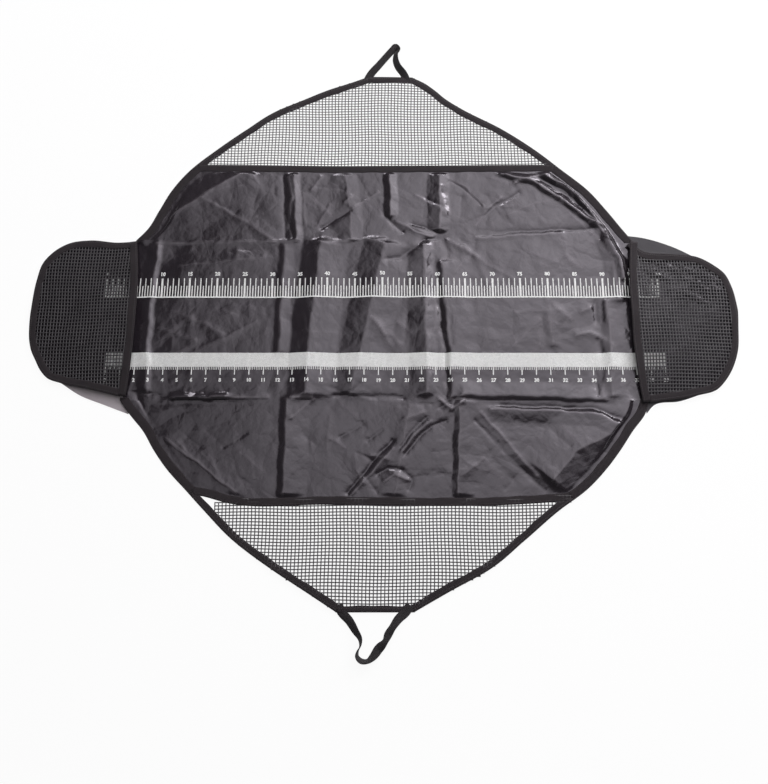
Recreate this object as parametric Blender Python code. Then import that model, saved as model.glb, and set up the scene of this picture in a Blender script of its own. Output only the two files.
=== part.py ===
"""Unhooking mat laid open on the ground, in metres.

X runs along the mat's length, Y across it and Z up, with the origin under the middle of the floor.
A tarpaulin floor runs on under two net hoods, which make an open pocket at each end. A tarpaulin
wing folds up along each long side, and carries a net that ends in a webbing handle. Folded tapes
bind every raw edge. The sheets' edges lie inside these tapes, so a sheet steps up near its edge.
"""
import math

import bmesh
import bpy
from mathutils import Matrix, Vector

# Plan sizes
FLOOR_HALF_WIDTH = 0.153        # centre line to the crease where a wing folds up
WING_DEPTH = 0.1645             # crease to the tarpaulin's outer edge
NET_DEPTH = 0.170               # seam tape to the net's outer edge
SHOULDER_HALF_LENGTH = 0.4545   # wing's half length at the crease
NET_END_HALF_LENGTH = 0.066     # net's half length at its outer edge
SHOULDER_SLOPE = 0.50           # how fast the side edge draws in at the crease, m per m
MOUTH_SET_IN = 0.0115           # hood's free edge, inwards of the wing's corners
POCKET_LENGTH = 0.193           # hood's free edge to its outer end
POCKET_SET_IN = 0.0075          # hood's side, inwards of the crease
POCKET_ROUNDNESS = 3.6          # 2 would be an ellipse, and more is squarer
HOOD_RISE = 0.014               # how far a hood's free edge stands off the floor
GUSSET_RISE = 0.023             # how far a gusset runs up beside the wing
HANDLE_REACH = 0.082
HANDLE_FOOT_HALF_SPACING = 0.036
HANDLE_BEND_RADIUS = 0.017

# Material sizes
SHEET = 0.0008                  # tarpaulin thickness
NET = 0.0008                    # net thickness
PLY = 0.0009                    # one layer of binding tape
CLEARANCE = 0.0003              # kept between two pieces that touch
BUTT = 0.0008                   # kept where one tape ends against another
HINGE_GAP = 0.002               # tape ends kept back from the crease
EDGE_TAPE_WIDTH = 0.0165
SEAM_TAPE_WIDTH = 0.0140
RIM_TAPE_WIDTH = 0.0155
MOUTH_TAPE_WIDTH = 0.0155
STRAP_WIDTH = 0.0150
STRAP_THICKNESS = 0.0020

# Net weave, coarser than the real one's 6.3 by 5.5 mm, and as open
NET_PITCH = 0.024
STRAND_WIDTH = 0.005
SMALLEST_GAP = 0.001

# Packing folds, left in the tarpaulin as low ridges across the mat
FIRST_FOLD_X = -0.425
FOLD_SPACING = 0.270
FOLD_COUNT = 4
RIDGE_HEIGHT = 0.0022
RIDGE_HALF_WIDTH = 0.011
RIDGE_FADE = 0.030
STEP_RAMP = 0.010               # length over which a sheet steps up to its tape

# Counts of straight runs in the curved edges
SIDE_STEPS = 5
RIM_STEPS = 14
STRAP_BEND_STEPS = 10

# Worked out from the sizes above
FOLD_WALL = CLEARANCE + PLY
TAPE_HEIGHT = 2 * FOLD_WALL + SHEET
WING_EDGE_Y = FLOOR_HALF_WIDTH + WING_DEPTH
SEAM_Y = WING_EDGE_Y + FOLD_WALL
NET_START_Y = SEAM_Y + CLEARANCE
NET_EDGE_Y = SEAM_Y + NET_DEPTH
NET_END_Y = NET_EDGE_Y + FOLD_WALL
HANDLE_START_Y = NET_END_Y + CLEARANCE
MOUTH_X = SHOULDER_HALF_LENGTH - MOUTH_SET_IN
POCKET_HALF_WIDTH = FLOOR_HALF_WIDTH - POCKET_SET_IN
POCKET_END_X = MOUTH_X + POCKET_LENGTH
HOOD_HINGE_X = POCKET_END_X + FOLD_WALL
HOOD_HINGE_Z = SHEET + CLEARANCE
HOOD_TILT = math.asin(HOOD_RISE / (HOOD_HINGE_X - MOUTH_X))
PACKING_FOLDS = [FIRST_FOLD_X + FOLD_SPACING * i for i in range(FOLD_COUNT)]
MERGE = 0.0001

SIDES = {"back": 1, "front": -1}
ENDS = {"left": -1, "right": 1}


def clamp(value):
    return max(0.0, min(1.0, value))


def wing_half_length(y):
    """Half length of the wings and nets at a distance y from the centre line."""
    run = y - FLOOR_HALF_WIDTH
    full_run = NET_EDGE_Y - FLOOR_HALF_WIDTH
    draw_in = SHOULDER_HALF_LENGTH - NET_END_HALF_LENGTH - SHOULDER_SLOPE * full_run
    return SHOULDER_HALF_LENGTH - SHOULDER_SLOPE * run - draw_in * (run / full_run) ** 2


def side_edge(y_start, y_end):
    """Points of the right-hand side edge, from y_start out to y_end."""
    rows = [y_start + (y_end - y_start) * i / SIDE_STEPS for i in range(SIDE_STEPS + 1)]
    return [Vector((wing_half_length(y), y, 0)) for y in rows]


def pocket_rim(grow=0.0, first_x=MOUTH_X):
    """Points of the right-hand pocket's rim, from first_x round the end and back.

    The rim is a superellipse about the middle of the mouth.
    """
    power = 2 / POCKET_ROUNDNESS
    length = POCKET_LENGTH + grow
    half_width = POCKET_HALF_WIDTH + grow
    first_turn = math.acos(((first_x - MOUTH_X) / length) ** (1 / power))
    quarter = []
    for i in range(RIM_STEPS + 1):
        turn = first_turn * (1 - i / RIM_STEPS)
        x = MOUTH_X + length * abs(math.cos(turn)) ** power
        quarter.append(Vector((x, half_width * abs(math.sin(turn)) ** power, 0)))
    return quarter + [Vector((p.x, -p.y, 0)) for p in reversed(quarter[:-1])]


def mirrored(points, x_sign=1, y_sign=1):
    return [Vector((p.x * x_sign, p.y * y_sign, p.z)) for p in points]


def distance_to_edges(x, y, edges):
    """Distance in plan from a point to the nearest of some straight edges."""
    best = math.inf
    for start, end in edges:
        run = (end - start).to_2d()
        share = clamp((Vector((x, y)) - start.to_2d()).dot(run) / run.length_squared)
        best = min(best, (start.to_2d() + run * share - Vector((x, y))).length)
    return best


def flat_face(outline):
    bm = bmesh.new()
    bm.faces.new([bm.verts.new(p) for p in outline])
    return bm


def score(bm, point, direction, faces=None):
    """Cut an edge line into the faces without parting them."""
    faces = faces or bm.faces[:]
    parts = set(faces)
    for face in faces:
        parts.update(face.edges)
        parts.update(face.verts)
    normal = Vector((-direction[1], direction[0], 0))
    bmesh.ops.bisect_plane(bm, geom=list(parts), dist=MERGE, plane_co=point, plane_no=normal)


def score_inside(bm, edges, inset):
    """Score a line along each edge, a fixed distance towards the inside of a convex outline."""
    for start, end in edges:
        direction = (end - start).normalized()
        inward = Vector((-direction.y, direction.x, 0))
        score(bm, start + inward * inset, direction)


def raise_surface(bm, height):
    for vert in bm.verts:
        vert.co.z = height(vert.co.x, vert.co.y)


def thicken(bm, thickness):
    """Turn an open surface into a closed solid that reaches thickness above it."""
    bmesh.ops.triangulate(bm, faces=bm.faces[:])
    result = bmesh.ops.extrude_face_region(bm, geom=bm.faces[:])
    top = [item for item in result["geom"] if isinstance(item, bmesh.types.BMVert)]
    bmesh.ops.translate(bm, verts=top, vec=(0, 0, thickness))
    bmesh.ops.recalc_face_normals(bm, faces=bm.faces[:])


def has_room(face):
    """Whether every edge of a cell still has a length once strands take half their width."""
    for loop in face.loops:
        taken = 1 / math.tan(loop.calc_angle() / 2) + 1 / math.tan(loop.link_loop_next.calc_angle() / 2)
        if loop.edge.calc_length() < taken * STRAND_WIDTH / 2 + SMALLEST_GAP:
            return False
    return True


def open_cells(bm, cells):
    """Cut a hole into each cell of a scored net, leaving a strand round it."""
    roomy = [face for face in cells if has_room(face)]
    bmesh.ops.inset_individual(bm, faces=roomy, thickness=STRAND_WIDTH / 2, use_even_offset=True)
    bmesh.ops.delete(bm, geom=roomy, context="FACES_ONLY")


def net_surface(outline, hem, middle):
    """A net cut to a convex outline, with a closed hem; middle is a crossing of its strands."""
    bm = flat_face(outline)
    edges = list(zip(outline, outline[1:] + outline[:1]))
    score_inside(bm, edges, hem)

    def is_inside(face):
        centre = face.calc_center_median()
        return distance_to_edges(centre.x, centre.y, edges) > hem

    reach = max((p - middle).length for p in outline)
    steps = range(-int(reach / NET_PITCH), int(reach / NET_PITCH) + 1)
    for step in steps:
        shift = (step + 0.5) * NET_PITCH
        for point, direction in (
            (middle + Vector((shift, 0, 0)), (0, 1)),
            (middle + Vector((0, shift, 0)), (1, 0)),
        ):
            inner = [face for face in bm.faces if is_inside(face)]
            score(bm, point, direction, inner)
    open_cells(bm, [face for face in bm.faces if is_inside(face)])
    bmesh.ops.remove_doubles(bm, verts=bm.verts[:], dist=MERGE)
    return bm


def tape_profile(width):
    """Section of a tape folded over an edge at (0, 0), as (outward, up) points.

    The slot between its plies holds a sheet with a clearance above, below and beyond its edge.
    """
    inner = FOLD_WALL - width
    half_height = TAPE_HEIGHT / 2
    fold = []
    for i in range(5):
        turn = math.pi * (i / 4 - 0.5)
        fold.append((CLEARANCE + PLY * math.cos(turn), half_height * (1 + math.sin(turn))))
    slot = [
        (inner, TAPE_HEIGHT),
        (inner, TAPE_HEIGHT - PLY),
        (CLEARANCE, TAPE_HEIGHT - PLY),
        (CLEARANCE, PLY),
        (inner, PLY),
        (inner, 0),
    ]
    return fold + slot


def strap_profile():
    """Section of webbing with soft edges, about its centre line."""
    half = STRAP_WIDTH / 2
    edge = STRAP_THICKNESS / 4
    return [
        (-half, edge),
        (-half + edge, 0),
        (half - edge, 0),
        (half, edge),
        (half, STRAP_THICKNESS - edge),
        (half - edge, STRAP_THICKNESS),
        (-half + edge, STRAP_THICKNESS),
        (-half, STRAP_THICKNESS - edge),
    ]


def swept(profile, path, inside, start_cut=None, end_cut=None):
    """Sweep a section along a path; inside is a point on the inner side of the path.

    A cut is the direction in which an end face runs, so that it can follow its neighbour.
    """
    normals = []
    for start, end in zip(path, path[1:]):
        run = (end - start).to_2d().normalized()
        normal = Vector((run.y, -run.x))
        if normal.dot(((start + end) / 2 - inside).to_2d()) < 0:
            normal = -normal
        normals.append(normal)
    bm = bmesh.new()
    rings = []
    for i, point in enumerate(path):
        before = normals[max(i - 1, 0)]
        after = normals[min(i, len(normals) - 1)]
        cut = (before + after).normalized()
        if i == 0 and start_cut:
            cut = Vector(start_cut).normalized()
        if i == len(path) - 1 and end_cut:
            cut = Vector(end_cut).normalized()
        across = cut / cut.dot(after)
        ring = []
        for outward, up in profile:
            shift = across * outward
            ring.append(bm.verts.new(point + Vector((shift.x, shift.y, up))))
        rings.append(ring)
    for near, far in zip(rings, rings[1:]):
        for k in range(len(profile)):
            after_k = (k + 1) % len(profile)
            bm.faces.new((near[k], near[after_k], far[after_k], far[k]))
    bm.faces.new(rings[0])
    bm.faces.new(rings[-1])
    bmesh.ops.recalc_face_normals(bm, faces=bm.faces[:])
    return bm


def make_material(name, colour, roughness, coat=0.0):
    material = bpy.data.materials.new(name)
    material.use_nodes = True
    shader = material.node_tree.nodes["Principled BSDF"]
    shader.inputs["Base Color"].default_value = (*colour, 1)
    shader.inputs["Roughness"].default_value = roughness
    shader.inputs["Coat Weight"].default_value = coat
    return material


def make_pivot(name, location):
    pivot = bpy.data.objects.new(name, None)
    pivot.empty_display_size = 0.02
    pivot.location = location
    bpy.context.scene.collection.objects.link(pivot)
    return pivot


def make_object(name, bm, look, pivot=None):
    """Make a node with its own material, hung on the empty that marks its joint."""
    mesh = bpy.data.meshes.new(name)
    bm.to_mesh(mesh)
    bm.free()
    mesh.materials.append(make_material(name, *look))
    made = bpy.data.objects.new(name, mesh)
    bpy.context.scene.collection.objects.link(made)
    if pivot:
        made.parent = pivot
        made.matrix_parent_inverse = Matrix.Translation(-pivot.location)
    return made


TARPAULIN = ((0.028, 0.025, 0.028), 0.26, 0.4)
NET_LOOK = ((0.045, 0.045, 0.048), 0.60)
TAPE_LOOK = ((0.014, 0.013, 0.014), 0.85)
STRAP_LOOK = ((0.012, 0.012, 0.013), 0.80)


def ridge(x):
    """Height share of the packing folds at x."""
    return max(1 - abs(x - fold) / RIDGE_HALF_WIDTH for fold in PACKING_FOLDS)


def score_folds(bm):
    for fold in PACKING_FOLDS:
        for shift in (-RIDGE_HALF_WIDTH, 0, RIDGE_HALF_WIDTH):
            score(bm, (fold + shift, 0, 0), (0, 1))


def build_floor():
    """The floor and the bottoms of both pockets, in one sheet."""
    edge_y = FLOOR_HALF_WIDTH - CLEARANCE / 2
    corner_x = SHOULDER_HALF_LENGTH
    rim = pocket_rim(first_x=corner_x)
    right = [Vector((corner_x, edge_y, 0))] + rim + [Vector((corner_x, -edge_y, 0))]
    outline = right + mirrored(right, -1, -1)
    bm = flat_face(list(reversed(outline)))
    score_folds(bm)
    for y in (-edge_y + RIDGE_FADE, edge_y - RIDGE_FADE):
        score(bm, (0, y, 0), (1, 0))

    def height(x, y):
        return RIDGE_HEIGHT * clamp(ridge(x)) * clamp((edge_y - abs(y)) / RIDGE_FADE)

    raise_surface(bm, height)
    thicken(bm, SHEET)
    make_object("floor_sheet", bm, TARPAULIN)


def build_gusset(side, end):
    """The small web drawn taut from a wing's side edge to the pocket's rim."""
    corner_x = SHOULDER_HALF_LENGTH + FOLD_WALL + BUTT
    top_y = FLOOR_HALF_WIDTH + GUSSET_RISE
    top = Vector((corner_x - SHOULDER_HALF_LENGTH + wing_half_length(top_y), top_y, 0))
    rim = [p for p in pocket_rim(CLEARANCE, corner_x) if p.y > 0]
    slopes = [(p.y - top.y) / (p.x - top.x) for p in rim]
    touch = slopes.index(max(slopes))
    outline = [top, Vector((corner_x, FLOOR_HALF_WIDTH, 0))] + rim[:touch + 1]
    bm = flat_face(mirrored(outline, ENDS[end], SIDES[side]))
    thicken(bm, SHEET)
    make_object(f"gusset_{side}_{end}", bm, TARPAULIN)


def build_wing(side, pivot):
    """A tarpaulin wing with its tapes, which lies open and folds up about its crease."""
    y_sign = SIDES[side]
    start_y = FLOOR_HALF_WIDTH + CLEARANCE / 2
    right = side_edge(start_y, WING_EDGE_Y)
    outline = right + list(reversed(mirrored(right, -1)))
    bound_edges = list(zip(outline, outline[1:]))
    bm = flat_face(outline)
    for inset in (EDGE_TAPE_WIDTH, EDGE_TAPE_WIDTH + STEP_RAMP):
        score_inside(bm, bound_edges, inset)
    score_folds(bm)
    for y in (start_y + RIDGE_FADE, WING_EDGE_Y - EDGE_TAPE_WIDTH - RIDGE_FADE):
        score(bm, (0, y, 0), (1, 0))

    def height(x, y):
        inside = distance_to_edges(x, y, bound_edges) - EDGE_TAPE_WIDTH
        step = FOLD_WALL * (1 - clamp(inside / STEP_RAMP))
        fade = clamp((inside - STEP_RAMP) / RIDGE_FADE) * clamp((y - start_y) / RIDGE_FADE)
        return step + RIDGE_HEIGHT * clamp(ridge(x)) * fade

    raise_surface(bm, height)
    bmesh.ops.remove_doubles(bm, verts=bm.verts[:], dist=MERGE)
    bmesh.ops.scale(bm, vec=(1, y_sign, 1), verts=bm.verts[:])
    thicken(bm, SHEET)
    make_object(f"wing_sheet_{side}", bm, TARPAULIN, pivot)

    middle = Vector((0, (start_y + WING_EDGE_Y) / 2, 0))
    build_side_tapes("wing_edge_tape", side, FLOOR_HALF_WIDTH + HINGE_GAP, SEAM_Y, pivot)
    build_cross_tape(f"seam_tape_{side}", side, WING_EDGE_Y, SEAM_TAPE_WIDTH, middle, pivot)


def build_side_tapes(name, side, y_start, y_end, pivot):
    """The folded tape on each slanting side edge of a wing or a net."""
    for end, x_sign in ENDS.items():
        path = mirrored(side_edge(y_start, y_end), x_sign, SIDES[side])
        bm = swept(tape_profile(EDGE_TAPE_WIDTH), path, Vector((0, 0, 0)), (1, 0), (1, 0))
        make_object(f"{name}_{side}_{end}", bm, TAPE_LOOK, pivot)


def build_cross_tape(name, side, edge_y, width, middle, pivot):
    """A folded tape along a straight outer edge, cut to fit between the side tapes."""
    near, far = side_edge(edge_y - width, edge_y)[-2:]
    slant = (far - near).normalized()
    normal = Vector((slant.y, -slant.x, 0))
    gap = EDGE_TAPE_WIDTH - FOLD_WALL + BUTT
    end_x = far.x - gap / normal.x
    y_sign = SIDES[side]
    path = mirrored([Vector((end_x, edge_y, 0)), Vector((-end_x, edge_y, 0))], 1, y_sign)
    cuts = ((slant.x, slant.y * y_sign), (-slant.x, slant.y * y_sign))
    bm = swept(tape_profile(width), path, Vector((0, middle.y * y_sign, 0)), *cuts)
    make_object(name, bm, TAPE_LOOK, pivot)


def build_net(side, pivot):
    """The net beyond a wing, with its side tapes and its end tape."""
    right = side_edge(NET_START_Y, NET_EDGE_Y)
    outline = right + list(reversed(mirrored(right, -1)))
    middle = Vector((0, (NET_START_Y + NET_EDGE_Y) / 2, 0))
    bm = net_surface(outline, EDGE_TAPE_WIDTH, middle)
    raise_surface(bm, lambda x, y: FOLD_WALL)
    bmesh.ops.scale(bm, vec=(1, SIDES[side], 1), verts=bm.verts[:])
    thicken(bm, NET)
    make_object(f"net_panel_{side}", bm, NET_LOOK, pivot)
    build_side_tapes("net_edge_tape", side, NET_START_Y, NET_END_Y, pivot)
    build_cross_tape(f"end_tape_{side}", side, NET_EDGE_Y, EDGE_TAPE_WIDTH, middle, pivot)


def handle_path():
    """Centre line of a handle: two slanting legs joined by a bend, from foot to foot."""
    bend_y = HANDLE_START_Y + HANDLE_REACH - STRAP_WIDTH / 2 - HANDLE_BEND_RADIUS
    foot = Vector((HANDLE_FOOT_HALF_SPACING, HANDLE_START_Y, 0))
    to_bend = Vector((0, bend_y, 0)) - foot
    leg_angle = math.atan2(to_bend.y, to_bend.x)
    leg_angle -= math.asin(HANDLE_BEND_RADIUS / to_bend.length)
    first_turn = leg_angle - math.pi / 2
    path = [foot]
    for i in range(STRAP_BEND_STEPS + 1):
        turn = first_turn + (math.pi - 2 * first_turn) * i / STRAP_BEND_STEPS
        bend = Vector((math.cos(turn), math.sin(turn), 0)) * HANDLE_BEND_RADIUS
        path.append(Vector((0, bend_y, 0)) + bend)
    return path + [Vector((-foot.x, foot.y, 0))]


def build_handle(side, pivot):
    """A loop of webbing that swings at the net's end tape."""
    path = mirrored(handle_path(), 1, SIDES[side])
    inside = Vector((0, HANDLE_START_Y * SIDES[side], 0))
    bm = swept(strap_profile(), path, inside, (1, 0), (1, 0))
    make_object(f"handle_{side}", bm, STRAP_LOOK, pivot)


def tilt_hood(bm, end):
    """Turn a flat piece of a hood about the hood's outer end, so that the pocket stands open."""
    hinge = Vector((HOOD_HINGE_X * ENDS[end], 0, HOOD_HINGE_Z))
    turn = Matrix.Rotation(HOOD_TILT * ENDS[end], 3, "Y")
    bmesh.ops.rotate(bm, cent=hinge, matrix=turn, verts=bm.verts)


def build_hood(end, pivot):
    """The net over a pocket, bound round its rim and along its free edge."""
    x_sign = ENDS[end]
    rim = pocket_rim()
    centre_x = MOUTH_X + POCKET_LENGTH / 2
    bm = net_surface(list(reversed(rim)), RIM_TAPE_WIDTH, Vector((centre_x, 0, 0)))
    raise_surface(bm, lambda x, y: HOOD_HINGE_Z + FOLD_WALL)
    bmesh.ops.scale(bm, vec=(x_sign, 1, 1), verts=bm.verts[:])
    thicken(bm, NET)
    tilt_hood(bm, end)
    make_object(f"hood_net_{end}", bm, NET_LOOK, pivot)

    lift = Vector((0, 0, HOOD_HINGE_Z))
    middle = Vector((centre_x * x_sign, 0, 0))
    to_mouth = Vector((FOLD_WALL, 0, 0))
    path = mirrored([rim[0] - to_mouth] + rim[1:-1] + [rim[-1] - to_mouth], x_sign)
    path = [p + lift for p in path]
    bm = swept(tape_profile(RIM_TAPE_WIDTH), path, middle, (0, 1), (0, 1))
    tilt_hood(bm, end)
    make_object(f"rim_tape_{end}", bm, TAPE_LOOK, pivot)

    half_run = POCKET_HALF_WIDTH + FOLD_WALL - RIM_TAPE_WIDTH - BUTT
    mouth = [Vector((MOUTH_X * x_sign, y, HOOD_HINGE_Z)) for y in (half_run, -half_run)]
    bm = swept(tape_profile(MOUTH_TAPE_WIDTH), mouth, middle)
    tilt_hood(bm, end)
    make_object(f"mouth_tape_{end}", bm, TAPE_LOOK, pivot)


def build_side(side):
    y_sign = SIDES[side]
    crease = make_pivot(f"pivot_wing_{side}", (0, FLOOR_HALF_WIDTH * y_sign, SHEET))
    seam = make_pivot(f"pivot_net_{side}", (0, (SEAM_Y + CLEARANCE / 2) * y_sign, TAPE_HEIGHT))
    foot_y = NET_END_Y + CLEARANCE / 2
    foot = make_pivot(f"pivot_handle_{side}", (0, foot_y * y_sign, TAPE_HEIGHT))
    build_wing(side, crease)
    build_net(side, seam)
    build_handle(side, foot)


def build_end(end):
    pivot = make_pivot(f"pivot_hood_{end}", (HOOD_HINGE_X * ENDS[end], 0, HOOD_HINGE_Z))
    build_hood(end, pivot)


def main():
    for old in list(bpy.data.objects):
        bpy.data.objects.remove(old, do_unlink=True)
    build_floor()
    for side in SIDES:
        build_side(side)
        for end in ENDS:
            build_gusset(side, end)
    for end in ENDS:
        build_end(end)


main()
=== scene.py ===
"""Looks of an unhooking mat laid open on the ground.

Metres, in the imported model's frame: X runs along the mat, Y across it and Z up. The mat lies a
little unevenly, so each edge has its own few points here, near the symmetric model's edges.
"""
import math

import bmesh
import bpy
import numpy as np
from mathutils import Matrix, Vector
from mathutils.bvhtree import BVHTree


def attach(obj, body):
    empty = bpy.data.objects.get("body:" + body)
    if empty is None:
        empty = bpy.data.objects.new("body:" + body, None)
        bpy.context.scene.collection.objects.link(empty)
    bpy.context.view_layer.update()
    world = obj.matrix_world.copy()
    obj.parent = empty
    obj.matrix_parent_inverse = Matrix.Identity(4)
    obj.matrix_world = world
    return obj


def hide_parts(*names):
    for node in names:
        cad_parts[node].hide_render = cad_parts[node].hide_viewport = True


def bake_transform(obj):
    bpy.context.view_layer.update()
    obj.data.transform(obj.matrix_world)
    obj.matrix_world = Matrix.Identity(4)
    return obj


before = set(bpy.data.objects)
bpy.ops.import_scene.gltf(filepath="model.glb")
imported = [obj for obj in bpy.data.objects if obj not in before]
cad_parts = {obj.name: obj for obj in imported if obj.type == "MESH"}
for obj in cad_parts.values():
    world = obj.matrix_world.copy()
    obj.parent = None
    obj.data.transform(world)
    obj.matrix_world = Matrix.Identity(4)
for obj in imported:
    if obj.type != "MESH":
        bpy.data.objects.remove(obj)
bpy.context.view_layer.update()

MM = 0.001
SIDES = {"back": 1, "front": -1}
ENDS = {"left": -1, "right": 1}

# Outer edges of the wings and nets: (distance from the centre line, left end, right end)
SIDE_EDGES = {
    "back": [
        (0.153, -0.456, 0.457), (0.173, -0.438, 0.442), (0.213, -0.417, 0.413),
        (0.254, -0.395, 0.380), (0.294, -0.363, 0.335), (0.336, -0.315, 0.286),
        (0.378, -0.262, 0.226), (0.421, -0.201, 0.151), (0.442, -0.155, 0.121),
        (0.464, -0.104, 0.097), (0.479, -0.059, 0.077), (0.490, -0.030, 0.055),
    ],
    "front": [
        (0.147, -0.462, 0.466), (0.171, -0.444, 0.457), (0.200, -0.419, 0.434),
        (0.235, -0.397, 0.409), (0.269, -0.371, 0.381), (0.303, -0.338, 0.346),
        (0.337, -0.305, 0.298), (0.387, -0.253, 0.237), (0.435, -0.185, 0.175),
        (0.468, -0.132, 0.112), (0.502, -0.078, 0.050),
    ],
}
CREASE = {"back": 0.153, "front": 0.147}
END_EDGE = {"back": 0.490, "front": 0.502}

# Middle of each seam tape: (place along the mat, distance from the centre line)
SEAMS = {
    "back": [(-0.36, 0.2975), (-0.10, 0.2955), (0.10, 0.2965), (0.34, 0.2980)],
    "front": [
        (-0.335, 0.302), (-0.313, 0.305), (-0.265, 0.3175), (-0.10, 0.32), (0.22, 0.32), (0.33, 0.313),
    ],
}
SEAM_END = 0.33                 # how far along the mat a seam tape meets the side tapes, about
SEAM_ROW = 4                    # the row of SIDE_EDGES next to the seam
SEAM_INSET = 0.010              # where a seam tape stops, inside the side tapes' outer edges
END_INSET = 0.001               # and where an end tape does
TAPE_LAP = 0.005                # how far a wing's side tapes run in over the floor
TAPE_GAP = 0.0003               # between a wing's side tape and its net's
TAPE_OVERRUN = 0.0005           # of a net's side tapes beyond the end tape

# Outer edge of each hood's rim tape, from its back corner round the end to its front corner
RIMS = {
    "left": [
        (-0.4535, 0.1490), (-0.4863, 0.1472), (-0.5394, 0.1512), (-0.5777, 0.1450),
        (-0.6040, 0.1290), (-0.6215, 0.1080), (-0.6300, 0.0755), (-0.6340, 0.0372),
        (-0.6346, -0.0004), (-0.6325, -0.0378), (-0.6274, -0.0563), (-0.6178, -0.0747),
        (-0.6073, -0.0928), (-0.5930, -0.1075), (-0.5684, -0.1165), (-0.5153, -0.1282),
        (-0.4614, -0.1410),
    ],
    "right": [
        (0.4545, 0.1490), (0.4694, 0.1330), (0.5264, 0.1250), (0.5760, 0.1190), (0.6034, 0.1035),
        (0.6208, 0.0880), (0.6310, 0.0640), (0.6366, 0.0330), (0.6350, -0.0200), (0.6305, -0.0563),
        (0.6240, -0.0760), (0.6160, -0.0928), (0.6035, -0.1110), (0.5875, -0.1270),
        (0.5505, -0.1387), (0.4660, -0.1515),
    ],
}

# Small webs beside the pockets: outer line from the wing's edge to the rim, and the cut's width,
# length and area
WEBS = {
    "back_left": (
        [(-0.4560, 0.1520), (-0.4880, 0.1478), (-0.5300, 0.1490), (-0.5700, 0.1440)],
        (0.010, 0.120),
        0.0008,
    ),
    "back_right": (
        [(0.4460, 0.1625), (0.4760, 0.1585), (0.5270, 0.1425), (0.5850, 0.1125)],
        (0.030, 0.141),
        0.0030,
    ),
    "front_left": (
        [(-0.4460, -0.1710), (-0.4900, -0.1545), (-0.5350, -0.1370), (-0.5700, -0.1150)],
        (0.034, 0.125),
        0.0027,
    ),
    "front_right": (
        [(0.4600, -0.1700), (0.4730, -0.1560), (0.5200, -0.1480), (0.5700, -0.1315)],
        (0.020, 0.105),
        0.0011,
    ),
}
WEB_TUCK = 0.004                # how far a web reaches under the rim tape
WEB_HEIGHTS = (0.0008, 0.0030)  # a web at the floor and at the lifting rim
MOUTH_X = 0.4420
MOUTH_BOW = 0.0110              # how far the mouth's ends lie beyond its middle
MOUTH_HALF = 0.150
MOUTH_POWER = 2.5               # how sharply the bow gathers at its ends
POCKET_CORNER = 0.018           # from the mouth out to where the floor's edge follows the rim
HOOD_LIFT = 0.0125              # mouth's middle, above the rim
HOOD_PUFF = 0.0030              # size of the hood's soft waves
HOOD_MIDDLE = 0.53              # a place inside both hoods' outlines

# The front net leaves its left corner open, inside its side tape
OPEN_FROM_X = -0.24             # left of here
OPEN_WIDTH = 0.020
OPEN_OUT = 0.350                # nearer to the centre line than here
OPEN_FADE = 0.025               # widening over this length
OPEN_SEAM = 0.3225              # beside the seam tape, out to here

# Widths and thicknesses
SHEET = 0.0008
CRISP_ANGLE = 0.9               # radians; a sheet's rims shade crisply
TAPE_WIDTH = {
    "wing": 0.0155,
    "net": 0.0128,
    "seam": 0.0140,
    "end_back": 0.0125,
    "end_front": 0.0106,
    "rim": 0.0132,
    "mouth": 0.0140,
}
TAPE_HEIGHT = 0.0028
STRAP_WIDTH = 0.0150
STRAP_THICKNESS = 0.0019
STRAP_LIFT = 0.0030             # a flat strap's middle above the ground
TUCK = 0.0060                   # how far a sheet reaches into its tape
PITCH_ACROSS = 0.0063           # net strands, counted along a side net
PITCH_OUT = 0.0055              # net strands, counted outwards
STRAND = {"back": 0.00165, "front": 0.00198, "left": 0.0022, "right": 0.0022}
NET_CELLS = (112, 37)           # cells that a side net is cut from, along it and outwards
NET_SHIFT = 0.01                # how far their middle lies to the left
NET_START = 0.290               # their first row, from the centre line
HOOD_CELLS = (36, 50)           # cells that a hood's net is cut from, outwards and across
HEM = 0.007                     # how far inside a side or rim tape's outer edge a net stops
SEAM_HEM = 0.002                # how far under a seam tape's middle it starts
END_HEM = 0.004                 # and how far inside an end tape's outer edge it stops
NET_WAVER = 0.0007              # how far its strands stray from straight lines
TAPE_WOBBLE = 0.0004            # unevenness of a tape's width
INK = 0.00025                   # print above the sheet

# Grids of the creased sheets, and steps along the other pieces
FLOOR_GRID = (430, 104)
WING_GRID = (430, 78)
WEB_GRID = (60, 12)
SIDE_STEPS = 70
SEAM_STEPS = 120
END_STEPS = 40
RIM_STEPS = 220
MOUTH_STEPS = 70
STRAP_STEPS = 110

# How the cloth lies
LIE = 0.0022                    # mean height of its slow swells
LOWEST = 0.0003                 # nothing on the ground lies lower
SHEET_LIFT = 0.0009             # a sheet's height above its tapes' undersides
NET_LIFT = 0.0014               # a side net's height above them
HOOD_EDGE_LIFT = 0.0012         # a hood's rim tape above the slow swells
HOOD_NET_LIFT = 0.0012          # a hood's net above its rim tape's underside
MOUTH_LIFT = 0.0006             # a mouth tape above its rim tape
END_LIFT = 0.0003               # an end tape above the side tapes
EDGE_FADE = 0.008               # creases die out this close to a tape
SLANT = 0.75                    # distance from a slanting edge, as a share of that along the mat
POCKET_FADE = 0.030             # and this close to a pocket's rim
POCKET_START = 0.44             # where the pockets begin, along the mat
POCKET_SLACK = {"left": 0.35, "right": 1.5}  # creases' height in a pocket, as a share
SCUFF_AND_HIGHLIGHT = (0.085, 0.076, 0.084)   # pale line on a sharp crease: scuffed coating, and a painted highlight
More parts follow.
